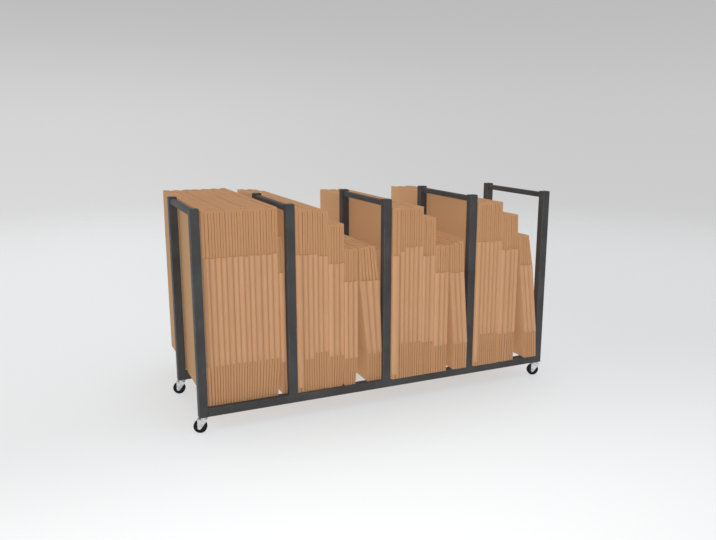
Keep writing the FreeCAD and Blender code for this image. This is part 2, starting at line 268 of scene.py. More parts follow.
class FinishKit(NodeKit):
    """Node tree of one finish: a Principled shader and the nodes that feed it."""

    def __init__(self, name: str) -> None:
        """Starts a material with a Principled shader on its output.

        Args:
            name: Name of the material.
        """
        self.material = bpy.data.materials.new(name)
        self.material.use_nodes = True
        super().__init__(self.material.node_tree)
        self.shader = self.node("ShaderNodeBsdfPrincipled")
        self.node("ShaderNodeOutputMaterial", sockets={"Surface": self.shader.outputs["BSDF"]})
        self.place = self.node("ShaderNodeTexCoord").outputs["Object"]

    def attribute(self, name: str) -> Level:
        """A number that the piece's mesh carries."""
        made = self.node("ShaderNodeAttribute", {"attribute_name": name})
        return Level(self, made.outputs["Fac"])

    def sheet_place(self, name: str) -> tuple[Level, Level]:
        """The two numbers of one of the piece's own UV maps."""
        along, through, _ = self.parts(self.node("ShaderNodeUVMap", {"uv_map": name}).outputs["UV"])
        return along, through

    def cloud(self, noise_of: Blotches) -> Level:
        """Lays noise over the surface.

        Args:
            noise_of: What the noise is like.

        Returns:
            A level about 0.5, or from 0 to 1 where the noise has a step.
        """
        place = self.place
        if noise_of.stretch is not None:
            mapping = self.node("ShaderNodeMapping", sockets={"Vector": place, "Scale": noise_of.stretch})
            place = mapping.outputs["Vector"]
        sockets = {"Vector": place, "Scale": 1 / noise_of.size, "Detail": noise_of.detail}
        level = Level(self, self.node("ShaderNodeTexNoise", sockets=sockets).outputs["Fac"])
        return level if noise_of.step is None else level.rise(*noise_of.step)

    def bump(self, height: Level, depth: float,
             below: bpy.types.NodeSocket | None = None) -> bpy.types.NodeSocket:
        """Bends the surface's normal by a relief.

        Args:
            height: Relief from 0 to 1.
            depth: Its depth, in metres.
            below: Normal that it stands on.

        Returns:
            The bent normal.
        """
        sockets: dict[str | int, Any] = {"Height": height, "Distance": depth}
        if below is not None:
            sockets["Normal"] = below
        return self.node("ShaderNodeBump", sockets=sockets).outputs["Normal"]

    def surface(self, sockets: dict[str, Any]) -> bpy.types.Material:
        """Feeds the shader.

        Args:
            sockets: Values or links of the shader's inputs, by name.

        Returns:
            The finished material.
        """
        for name, value in sockets.items():
            self.feed(self.shader.inputs[name], value)
        return self.material


# Finishes

@dataclass(frozen=True)
class Coat:
    """Patches of one colour in a finish.

    The share says how far they cover what is below, the roughness what they add to the finish's, and the
    attribute, where there is one, which faces have them.
    """
    colour: Colour
    patches: Blotches
    share: float = 1.0
    roughness: float = 0.0
    attribute: str = ""


@dataclass(frozen=True)
class Grain:
    """Fine noise in a finish: its share of the relief and what it adds to the roughness."""
    noise: Blotches
    share: float
    roughness: float = 0.0


@dataclass(frozen=True)
class PlainFinish:
    """A finish of one material: coats of colour over a base, with a relief of grains."""
    name: str
    base: Colour
    coats: tuple[Coat, ...]
    grains: tuple[Grain, ...]
    depth: float
    roughness: float
    specular: float = 0.5
    metallic: float = 0.0

    def make(self) -> bpy.types.Material:
        """Builds the material.

        Returns:
            The material.
        """
        kit = FinishKit(self.name)
        base: Any = self.base
        roughness: Level | float = self.roughness
        height: Level | float = 0.0
        for coat in self.coats:
            patches = kit.cloud(coat.patches)
            if coat.attribute:
                patches = kit.attribute(coat.attribute) * patches
            base = kit.tint(patches * coat.share, base, coat.colour)
            roughness = patches * coat.roughness + roughness
        for grain in self.grains:
            level = kit.cloud(grain.noise)
            height = level * grain.share + height
            roughness = level * grain.roughness + roughness
        return kit.surface({"Base Color": base, "Roughness": roughness, "Metallic": self.metallic,
                            "Specular IOR Level": self.specular, "Normal": kit.bump(height, self.depth)})


@dataclass(frozen=True)
class PowderCoat(PlainFinish):
    """Charcoal powder coat: fine orange peel, faint clouding, scuffs, rubbed along the tube's edges."""
    name: str = "charcoal_powder_coat"
    base: Colour = colour(58, 58, 59)
    coats: tuple[Coat, ...] = (
        Coat(colour(70, 70, 70), Blotches(160.0 * MM, 4.0, (0.3, 0.7))),
        Coat(colour(104, 104, 103), Blotches(20.0 * MM, 3.0, (0.6, 0.75), (1.0, 1.0, 0.25)), 0.14, 0.1),
        Coat(colour(104, 104, 103), Blotches(30.0 * MM, 4.0, (0.42, 0.7)), 0.45, attribute="edge"))
    grains: tuple[Grain, ...] = (Grain(Blotches(4.0 * MM), 0.7), Grain(Blotches(0.9 * MM), 0.3, 0.16))
    depth: float = 0.2 * MM
    roughness: float = 0.5
    specular: float = 0.25


@dataclass(frozen=True)
class CapPlastic(PlainFinish):
    """Black-grey moulded plastic with a fine spark-eroded grain."""
    name: str = "moulded_cap_plastic"
    base: Colour = colour(46, 47, 48)
    coats: tuple[Coat, ...] = (
        Coat(colour(58, 58, 59), Blotches(30.0 * MM, 3.0, (0.3, 0.7))),
        Coat(colour(90, 90, 91), Blotches(0.7 * MM, 3.0, (0.62, 0.8)), 0.2))
    grains: tuple[Grain, ...] = (Grain(Blotches(0.7 * MM, 3.0), 1.0, 0.2),)
    depth: float = 0.15 * MM
    roughness: float = 0.5


@dataclass(frozen=True)
class ZincPlate(PlainFinish):
    """Bright zinc plate on pressed steel: brushed, lightly clouded, dull specks."""
    name: str = "bright_zinc_plate"
    base: Colour = colour(226, 227, 228)
    coats: tuple[Coat, ...] = (
        Coat(colour(184, 186, 189), Blotches(12.0 * MM, 4.0, (0.3, 0.75))),
        Coat(colour(128, 128, 126), Blotches(1.4 * MM, 2.0, (0.66, 0.78)), 0.35, 0.2))
    grains: tuple[Grain, ...] = (Grain(Blotches(4.0 * MM, 3.0, stretch=(1.0, 1.0, 14.0)), 1.0, 0.2),)
    depth: float = 0.06 * MM
    roughness: float = 0.3
    metallic: float = 0.85


@dataclass(frozen=True)
class TyreRubber(PlainFinish):
    """Black rubber, dusty and scuffed where the tread rolls."""
    name: str = "black_tyre_rubber"
    base: Colour = colour(13, 13, 14)
    coats: tuple[Coat, ...] = (
        Coat(colour(60, 58, 55), Blotches(9.0 * MM, 4.0, (0.5, 0.75)), 0.45, 0.2, "tread"),
        Coat(colour(60, 58, 55), Blotches(0.8 * MM, 3.0, (0.6, 0.8)), 0.06))
    grains: tuple[Grain, ...] = (Grain(Blotches(0.8 * MM, 3.0), 1.0),)
    depth: float = 0.2 * MM
    roughness: float = 0.7
    specular: float = 0.2


@dataclass(frozen=True)
class HubPlastic(PlainFinish):
    """Black moulded plastic of the wheel centres, a little glossier than the tyre."""
    name: str = "black_hub_plastic"
    base: Colour = colour(17, 17, 18)
    coats: tuple[Coat, ...] = (Coat(colour(29, 29, 30), Blotches(8.0 * MM, 3.0, (0.35, 0.7))),)
    grains: tuple[Grain, ...] = (Grain(Blotches(8.0 * MM, 3.0), 0.0, 0.2), Grain(Blotches(0.7 * MM), 1.0))
    depth: float = 0.1 * MM
    roughness: float = 0.42
    specular: float = 0.3


@dataclass(frozen=True)
class KraftBoard:
    """Brown double-wall board: mottled kraft liner with flecks, rubbed folds with a painted highlight, and
    fluted cut edges with painted shade in their hollows.

    On a cut edge, middles, widths and the wave's height are shares of the board's thickness. The other
    shares say how far a colour covers what is below, and the heights how far a part stands in the relief.
    Painted shade lies in the gaps, fold valleys and hollows, along the panel score, on the washboard ribs
    and near the floor, and the faces away from the fold noses get a tint painted to cancel the reddish
    bounce light.
    """
    light: Colour = colour(208, 160, 120)
    dark: Colour = colour(193, 145, 106)
    # Yellower tint of faces away from the fold noses, painted to cancel the reddish light that bounces
    # between cartons
    side_bounce_tint: Colour = colour(204, 166, 122)
    # Colour of flecks and fibres, also used for painted shade on the washboard ribs and near the floor
    fleck_and_shade: Colour = colour(128, 90, 60)
    # Lighter colour of the fold noses: rubbed wear with a painted highlight
    rubbed: Colour = colour(214, 171, 135)
    # Darker colour along the panel score: painted shade in the crease
    shaded_crease: Colour = colour(150, 106, 72)
    paper: Colour = colour(213, 161, 116)
    # Darker colour of a cut edge between its liners and flutes: painted shade in the hollows
    hollow: Colour = colour(175, 124, 84)
    deep: Colour = colour(84, 56, 36)
    mottle: Blotches = Blotches(140.0 * MM, 3.0, stretch=(1.0, 1.0, 0.5))
    fibres: Blotches = Blotches(6.0 * MM, 3.0, stretch=(1.0, 1.0, 0.3))
    fibre_step: Span = (0.55, 0.8)
    flecks: Blotches = Blotches(2.2 * MM, 2.0, (0.68, 0.76), (1.0, 1.0, 0.5))
    rubs_and_highlight: Blotches = Blotches(14.0 * MM, 4.0, (0.4, 0.66), (1.0, 1.0, 0.2))
    fold_step: Span = (0.0, 0.5)
    floor_shade_step: Span = (0.14, 0.42)
    cut_step: Span = (0.2, 0.4)
    across_step: Span = (0.6, 0.9)
    crease_half: float = 1.2 * MM
    crease_soft: float = 1.5 * MM
    coarse_pitch: float = 7.9 * MM
    coarse_middle: float = 0.27
    fine_pitch: float = 6.4 * MM
    fine_middle: float = 0.73
    fine_start: float = 1.0
    wave: float = 0.13
    wave_half: float = 0.045
    wave_soft: float = 0.05
    liner_middles: tuple[float, ...] = (0.03, 0.5, 0.97)
    liner_half: float = 0.07
    liner_soft: float = 0.04
    core_half: float = 0.3
    core_soft: float = 0.1
    dark_share: float = 0.4
    side_bounce_tint_share: float = 0.6
    fibre_share: float = 0.08
    rib_shade_share: float = 0.03
    fleck_share: float = 0.3
    rub_and_highlight_share: float = 0.2
    shaded_crease_share: float = 0.55
    edge_dark_share: float = 0.2
    floor_shade_share: float = 0.03
    board_side_shade_share: float = 0.42
    shade_share: float = 0.8
    fibre_height: float = 0.5
    rib_height: float = 0.35
    skin_depth: float = 0.3 * MM
    flute_depth: float = 0.5 * MM

    @staticmethod
    def waves(along: Level, pitch: float, start: float = 0.0) -> Level:
        """Level from -1 to 1 that swings once in each pitch along the board."""
        return (along * (2 * math.pi / pitch) + start).sine()

    def flutes(self, along: Level, through: Level, cut: Level) -> Level:
        """Mask of the paper seen on a cut edge.

        Args:
            along: Distance along the edge, in metres.
            through: Place through the board, 0 to 1.
            cut: The board's cut number, one of the values of Cut.

        Returns:
            1 on a liner or a wave of the medium, 0 in a hollow.
        """
        swing = cut.rise(*self.across_step) * self.wave
        coarse = self.waves(along, self.coarse_pitch) * swing + self.coarse_middle
        fine = self.waves(along, self.fine_pitch, self.fine_start) * swing + self.fine_middle
        paper = through.band(coarse, self.wave_half, self.wave_soft)
        paper = paper.at_least(through.band(fine, self.wave_half, self.wave_soft))
        for middle in self.liner_middles:
            paper = paper.at_least(through.band(middle, self.liner_half, self.liner_soft))
        return paper

    def make(self) -> bpy.types.Material:
        """Builds the material.

        Returns:
            The material.
        """
        kit = FinishKit("brown_kraft_board")
        along, through = kit.sheet_place("sheet")
        cut, tone, fold, shade = [kit.attribute(name) for name in ("cut", "tone", "fold", "shade")]
        is_cut = cut.rise(*self.cut_step)
        mottle = kit.cloud(self.mottle)
        fibres = kit.cloud(self.fibres)
        # Rubbed wear and a painted highlight on the fold noses
        rub_and_highlight = fold * kit.cloud(self.rubs_and_highlight)
        # Washboard ribs of the liner: a relief, with a faint painted shade stripe in the colour
        ribs = self.waves(along, self.coarse_pitch) * 0.5 + 0.5
        # Panel score: a groove in the relief, with painted shade along it
        shaded_crease = along.band(0.0, self.crease_half, self.crease_soft) * (1.0 - is_cut)
        paper = self.flutes(along, through, cut)
        # Painted shade near the floor, darker towards the bottom
        foot = 1.0 - kit.parts(kit.place)[2].rise(*self.floor_shade_step)
        # Painted shade along both sides of each board's cut edge near the floor, which darkens the lines
        # between the boards
        board_side_shade = 1.0 - through.band(0.5, self.core_half, self.core_soft)
        fibres_and_rib_shade = fibres.rise(*self.fibre_step) * self.fibre_share + ribs * self.rib_shade_share
        # The side tint is painted to cancel bounce light, and the shaded crease is painted shade along the
        # panel score
        liner = kit.layers(self.light, ((tone + mottle) * self.dark_share, self.dark),
                           ((1.0 - fold.rise(*self.fold_step)) * self.side_bounce_tint_share, self.side_bounce_tint),
                           (fibres_and_rib_shade, self.fleck_and_shade), (kit.cloud(self.flecks) * self.fleck_share, self.fleck_and_shade),
                           (rub_and_highlight * self.rub_and_highlight_share, self.rubbed), (shaded_crease * self.shaded_crease_share, self.shaded_crease))
        # On a cut edge the hollow colour is painted shade between the liners and flutes
        edge = kit.layers(self.hollow, (paper, self.paper),
                          ((tone + fibres) * self.edge_dark_share, self.dark),
                          (foot * (board_side_shade * self.board_side_shade_share + self.floor_shade_share), self.fleck_and_shade))
        base = kit.layers(liner, (is_cut, edge), (shade * self.shade_share, self.deep))
        skin = kit.bump(fibres * self.fibre_height + ribs * self.rib_height - shaded_crease, self.skin_depth)
        relief = kit.bump(paper * is_cut, self.flute_depth, skin)
        return kit.surface({"Base Color": base, "Roughness": 0.78 + mottle * 0.14, "Normal": relief,
                            "Specular IOR Level": 0.22})


@dataclass(frozen=True)
class StudioFloor:
    """Pale studio floor with a glow, brightest in front, that fades into the backdrop far away.

    Beside the cart the glow is weaker, as on a floor that the cart keeps light from. Steps are in metres.
    """
    pale: Colour = colour(169, 171, 173)
    shade: Colour = colour(163, 165, 167)
    # Cooler floor colour near the cart, painted to cancel the warm light that bounces off the cartons
    bounce_offset_cool: Colour = colour(166, 172, 175)
    front_glow: Colour = grey(0.745)
    back_glow: Colour = grey(0.49)
    right_glow: Colour = grey(0.34)
    under_glow: Colour = grey(0.3)
    tooth: Blotches = Blotches(12.0 * MM, 3.0)
    tooth_share: float = 0.3
    bounce_offset_step: Span = (0.7, 2.0)
    front_step: Span = (0.1, 1.9)
    right_step: Span = (-1.3, 2.4)
    right_share: float = 0.68
    beside_scale: tuple[float, float, float] = (0.75, 1.0, 0.0)
    beside_step: Span = (0.3, 1.15)
    beside_share: float = 0.38
    fade_step: Span = (3.6, 9.0)

    @staticmethod
    def distance(kit: FinishKit, scale: tuple[float, float, float]) -> Level:
        """Distance from the middle of the floor.

        Args:
            kit: Node tree of the finish.
            scale: How much each axis counts.

        Returns:
            The distance, in metres.
        """
        flat = kit.node("ShaderNodeVectorMath", {"operation": "MULTIPLY"}, {0: kit.place, 1: scale})
        length = kit.node("ShaderNodeVectorMath", {"operation": "LENGTH"}, {0: flat.outputs["Vector"]})
        return Level(kit, length.outputs["Value"])

    def make(self) -> bpy.types.Material:
        """Builds the material.

        Returns:
            The material.
        """
        kit = FinishKit("pale_studio_floor")
        reach = self.distance(kit, (1.0, 1.0, 0.0))
        beside = 1.0 - self.distance(kit, self.beside_scale).rise(*self.beside_step)
        across, behind, _ = kit.parts(kit.place)
        ahead = 0.0 - behind
        # The cool tint near the cart is painted to cancel the cartons' warm bounce light
        base = kit.layers(self.pale, (kit.cloud(self.tooth) * self.tooth_share, self.shade),
                          (1.0 - reach.rise(*self.bounce_offset_step), self.bounce_offset_cool))
        glow = kit.layers(self.back_glow, (ahead.rise(*self.front_step), self.front_glow),
                          (across.rise(*self.right_step) * self.right_share, self.right_glow),
                          (beside * self.beside_share, self.under_glow))
        return kit.surface({"Base Color": base, "Roughness": 0.7, "Specular IOR Level": 0.1,
                            "Emission Color": glow, "Emission Strength": 1.0,
                            "Alpha": 1.0 - reach.rise(*self.fade_step)})


@dataclass
class Finishes:
    """The finishes of the cart, each made once."""
    coat: bpy.types.Material = field(default_factory=PowderCoat().make)
    cap: bpy.types.Material = field(default_factory=CapPlastic().make)
    zinc: bpy.types.Material = field(default_factory=ZincPlate().make)
    tyre: bpy.types.Material = field(default_factory=TyreRubber().make)
    hub: bpy.types.Material = field(default_factory=HubPlastic().make)
    board: bpy.types.Material = field(default_factory=KraftBoard().make)


# Mesh helpers

class Axis(Enum):
    """Directions of the cart."""
    LENGTH = 0
    DEPTH = 1
    HEIGHT = 2


class Cut(Enum):
    """How a board's face was made, as the number that its finish reads."""
    NONE = 0.0
    ALONG_FLUTES = 0.5
    ACROSS_FLUTES = 1.0


def block(low: Vector, high: Vector) -> BMesh:
    """Box between two opposite corners.

    Args:
        low: Lowest corner.
        high: Highest corner.

    Returns:
        A new mesh.
    """
    bm = bmesh.new()
    bmesh.ops.create_cube(bm, size=1.0, matrix=Matrix.LocRotScale((low + high) / 2, None, high - low))
    return bm


def edges_along(bm: BMesh, axis: Axis) -> list[BMEdge]:
    """Edges of a mesh that run along one direction."""
    runs = [(edge, (edge.verts[1].co - edge.verts[0].co).normalized()) for edge in bm.edges]
    return [edge for edge, run in runs if abs(run[axis.value]) > PARALLEL]


def end_faces(bm: BMesh, axis: Axis) -> list[BMFace]:
    """Faces at both ends of a prism that runs along one direction."""
    return [face for face in bm.faces if abs(face.normal[axis.value]) > FACING]


def sharp_edges(bm: BMesh) -> list[BMEdge]:
    """Edges where two faces meet at so large an angle that it gets rounded."""
    limit = math.radians(ROUNDED_ANGLE)
    return [edge for edge in bm.edges if len(edge.link_faces) == 2 and edge.calc_face_angle() > limit]


def rim_edges(bm: BMesh, axis: Axis) -> list[BMEdge]:
    """Edges round the end faces of a prism that runs along one direction."""
    ends = set(end_faces(bm, axis))
    return [edge for edge in bm.edges if len(ends.intersection(edge.link_faces)) == 1]


def round_edges(bm: BMesh, edges: list[BMEdge], radius: float, steps: int) -> None:
    """Rounds edges of a mesh.

    Args:
        bm: The mesh.
        edges: Edges to round.
        radius: Width of the rounding, in metres.
        steps: Faces across it.
    """
    bmesh.ops.bevel(bm, geom=edges, offset=radius, offset_type="OFFSET", segments=steps, profile=0.5,
                    affect="EDGES", material=-1, clamp_overlap=True)
    bm.normal_update()


def face_numbers(bm: BMesh, name: str, number: Callable[[BMFace], float]) -> None:
    """Writes a number to every face of a mesh.

    Args:
        bm: The mesh.
        name: Name of the attribute.
        number: Function from a face to its number.
    """
    layer = bm.faces.layers.float.get(name) or bm.faces.layers.float.new(name)
    for face in bm.faces:
        face[layer] = number(face)


def mesh_data(name: str, bm: BMesh) -> bpy.types.Mesh:
    """Turns a mesh that is being worked on into one that an object can carry.

    Args:
        name: Name of the new mesh.
        bm: The mesh so far, which is used up.

    Returns:
        The new mesh.
    """
    mesh = bpy.data.meshes.new(name)
    bm.to_mesh(mesh)
    bm.free()
    return mesh


def put(name: str, data: bpy.types.ID) -> bpy.types.Object:
    """Puts an object in the scene.

    Args:
        name: Name of the object.
        data: Its mesh, lamp or camera.

    Returns:
        The object.
    """
    made = bpy.data.objects.new(name, data)
    bpy.context.scene.collection.objects.link(made)
    return made


class Heap:
    """Finished meshes put together as one piece."""

    def __init__(self) -> None:
        """Starts empty."""
        self.bm = bmesh.new()

    def add(self, bm: BMesh, place: Matrix | None = None) -> None:
        """Takes over a mesh.

        Args:
            bm: The mesh, which is used up.
            place: Where it goes.
        """
        if place is not None:
            bmesh.ops.transform(bm, matrix=place, verts=bm.verts)
        mesh = mesh_data("part_of_heap", bm)
        self.bm.from_mesh(mesh)
        bpy.data.meshes.remove(mesh)


def show(name: str, bm: BMesh, material: bpy.types.Material, body: str,
         nodes: Sequence[str] = (), even: bool = True) -> None:
    """Makes a mesh a piece of the cart.

    Args:
        name: Name of the piece.
        bm: Its mesh, which is used up.
        material: Its finish.
        body: Body of the frame that carries it.
        nodes: Nodes that it stands for.
        even: Whether large faces keep their own normals beside rounded edges.
    """
    mesh = mesh_data(name, bm)
    mesh.shade_smooth()
    mesh.set_sharp_from_angle(angle=math.radians(SHARP_ANGLE))
    mesh.materials.append(material)
    made = put(name, mesh)
    if even:
        made.modifiers.new("even_normals", "WEIGHTED_NORMAL").keep_sharp = True
    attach(made, body)
    if nodes:
        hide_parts(*nodes)
    LOG.info("%s: %d faces on %s", name, len(mesh.polygons), body)


def dress_node(node: str, material: bpy.types.Material) -> None:
    """Gives a node that stays in the picture its finish.

    Args:
        node: Name of the node.
        material: Its finish.
    """
    mesh = frame["nodes"][node].data
    mesh.materials.clear()
    mesh.materials.append(material)
    LOG.info("%s: kept, %s", node, material.name)


def node_copy(node: str) -> BMesh:
    """Copy of a node's mesh with its corners merged.

    Args:
        node: Name of the node.

    Returns:
        The new mesh.
    """
    bm = bmesh.new()
    bm.from_mesh(frame["nodes"][node].data)
    bmesh.ops.remove_doubles(bm, verts=bm.verts, dist=MERGE_GAP)
    return bm


def softened_node(node: str, radius: float) -> BMesh:
    """Copy of a node's mesh with its sharp edges rounded.

    Args:
        node: Name of the node.
        radius: Width of the rounding, in metres.

    Returns:
        The new mesh.
    """
    bm = node_copy(node)
    bmesh.ops.dissolve_limit(bm, angle_limit=math.radians(FLAT_ANGLE), verts=bm.verts, edges=bm.edges)
    bm.normal_update()
    round_edges(bm, sharp_edges(bm), radius, SOFT_STEPS)
    return bm


# Frame

@dataclass
class TubeFrame:
    """Posts, rails, top rails, their welds and the post caps.

    A bead's swell and taper are shares of its radius, and its inset is a share of the top rail's corner.
    """
    body: str = "frame"
    wall: float = 2.0 * MM
    corner: float = 4.0 * MM
    cross_wall: float = 1.5 * MM
    cross_corner: float = 3.0 * MM
    corner_steps: int = 4
    side_facing: float = 0.98
    bead: float = 2.4 * MM
    bead_sides: int = 8
    bead_wear: float = 0.4
    bead_inset: float = 0.6
    ripple: float = 3.0 * MM
    ripple_swell: float = 0.16
    least_ripples: int = 3
    end_taper: float = 0.5
    taper_power: int = 6
    cap_seam: float = 0.5 * MM
    cap_round: float = 1.4 * MM
    cap_steps: int = 3
    cap_dish: float = 0.6 * MM
    cap_border: float = 5.0 * MM
    plug_depth: float = 6.0 * MM
    dividers: int = 5

    def tube(self, node: str) -> BMesh:
        """Round-cornered square tube in the place of a node.

        Args:
            node: Name of the node.

        Returns:
            The tube's mesh, open at both ends.
        """
        low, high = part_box(node)
        size = high - low
        axis = max(Axis, key=lambda one: size[one.value])
        thin = node.startswith("top_rail")
        wall = self.cross_wall if thin else self.wall
        bm = block(low, high)
        round_edges(bm, edges_along(bm, axis), self.cross_corner if thin else self.corner, self.corner_steps)
        bmesh.ops.delete(bm, geom=end_faces(bm, axis), context="FACES_ONLY")
        bmesh.ops.solidify(bm, geom=bm.faces[:], thickness=wall)
        bm.normal_update()
        face_numbers(bm, "edge",
                     lambda face: float(max(abs(part) for part in face.normal) < self.side_facing))
        return bm

    def weld(self, start: Vector, end: Vector) -> BMesh:
        """Rippled bead between two points.

        Args:
            start: Middle of the bead's first end.
            end: Middle of its last end.

        Returns:
            The bead's mesh.
        """
        run = end - start
        bm = bmesh.new()
        bmesh.ops.create_cone(bm, cap_ends=True, segments=self.bead_sides, radius1=self.bead,
                              radius2=self.bead, depth=run.length)
        ripples = max(self.least_ripples, round(run.length / self.ripple))
        bmesh.ops.subdivide_edges(bm, edges=edges_along(bm, Axis.HEIGHT), cuts=2 * ripples)
        for vert in bm.verts:
            share = vert.co.z / run.length + 0.5
            wave = self.ripple_swell * math.sin(2 * math.pi * ripples * share)
            taper = self.end_taper * abs(2 * share - 1) ** self.taper_power
            swell = 1 + wave - taper
            vert.co.x *= swell
            vert.co.y *= swell
        turn = Vector((0, 0, 1)).rotation_difference(run)
        bmesh.ops.transform(bm, matrix=Matrix.LocRotScale((start + end) / 2, turn, None), verts=bm.verts)
        bm.normal_update()
        face_numbers(bm, "edge", lambda face: self.bead_wear)
        return bm

    def ring_of_welds(self, low: Vector, high: Vector, y: float) -> list[BMesh]:
        """Beads round the end of a top rail, where it meets a post's face.

        Args:
            low: Lowest corner of the rail.
            high: Highest corner of the rail.
            y: Depth of the post's face.

        Returns:
            Four beads.
        """
        inset = self.cross_corner * self.bead_inset
        corners = [Vector((low.x, y, low.z)), Vector((high.x, y, low.z)),
                   Vector((high.x, y, high.z)), Vector((low.x, y, high.z))]
        beads = []
        for index, start in enumerate(corners):
            end = corners[(index + 1) % len(corners)]
            step = (end - start).normalized() * inset
            beads.append(self.weld(start + step, end - step))
        return beads

    def foot_welds(self, side: str, index: int) -> list[BMesh]:
        """Beads where a post meets its bottom rail.

        Args:
            side: Front or rear.
            index: Number of the divider, from 1.

        Returns:
            Two beads across the rail.
        """
        post_low, post_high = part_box(f"{side}_post_{index}")
        rail_low, rail_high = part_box(f"{side}_rail")
        y_low = rail_low.y + self.corner
        y_high = rail_high.y - self.corner
        if index == 1:
            places = [(post_high.x, rail_low.z), (post_high.x, rail_high.z)]
        elif index == self.dividers:
            places = [(post_low.x, rail_low.z), (post_low.x, rail_high.z)]
        else:
            places = [(post_low.x, rail_high.z), (post_high.x, rail_high.z)]
        return [self.weld(Vector((x, y_low, z)), Vector((x, y_high, z))) for x, z in places]

    def cap(self, side: str, index: int) -> BMesh:
        """Moulded cap with a rounded rim, a shallow dished top and a plug below.

        Args:
            side: Front or rear.
            index: Number of the divider, from 1.

        Returns:
            The cap's mesh.
        """
        post_low, post_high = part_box(f"{side}_post_{index}")
        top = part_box("post_caps")[1].z
        seam = Vector((self.cap_seam, self.cap_seam, 0)) / 2
        low = Vector((post_low.x, post_low.y, post_high.z + self.cap_seam)) + seam
        high = Vector((post_high.x, post_high.y, top)) - seam
        bm = block(low, high)
        round_edges(bm, edges_along(bm, Axis.HEIGHT), self.corner, self.corner_steps)
        upper = [face for face in bm.faces if face.normal.z > FACING]
        bmesh.ops.inset_region(bm, faces=upper, thickness=self.cap_border, depth=-self.cap_dish)
        bm.normal_update()
        rim = [edge for edge in bm.edges if all(vert.co.z > top - CLOSE for vert in edge.verts)]
        outer = [edge for edge in rim if any(abs(face.normal.z) < 1 - FACING for face in edge.link_faces)]
        round_edges(bm, outer, self.cap_round, self.cap_steps)
        plug_low = Vector((low.x + self.corner, low.y + self.corner, post_high.z - self.plug_depth))
        plug_high = Vector((high.x - self.corner, high.y - self.corner, low.z + CLOSE))
        moulding = Heap()
        moulding.add(bm)
        moulding.add(block(plug_low, plug_high))
        return moulding.bm

    def build(self, finishes: Finishes) -> None:
        """Builds and dresses the tubes, welds and caps.

        Args:
            finishes: Finishes of the cart.
        """
        caps = Heap()
        welds = Heap()
        numbers = range(1, self.dividers + 1)
        sides = ("front", "rear")
        pieces = ["rail"] + [f"post_{index}" for index in numbers]
        tubes = [f"{side}_{piece}" for side in sides for piece in pieces]
        tubes += [f"top_rail_{index}" for index in numbers]
        for node in tubes:
            show(f"{node}_tube", self.tube(node), finishes.coat, self.body, [node])
        for side in sides:
            for index in numbers:
                caps.add(self.cap(side, index))
                for bead in self.foot_welds(side, index):
                    welds.add(bead)
        for index in numbers:
            low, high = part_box(f"top_rail_{index}")
            for y in (low.y, high.y):
                for bead in self.ring_of_welds(low, high, y):
                    welds.add(bead)
        show("post_cap_mouldings", caps.bm, finishes.cap, self.body, ["post_caps"])
        show("weld_beads", welds.bm, finishes.coat, self.body, even=False)
        dress_node("caster_sockets", finishes.zinc)


# Casters

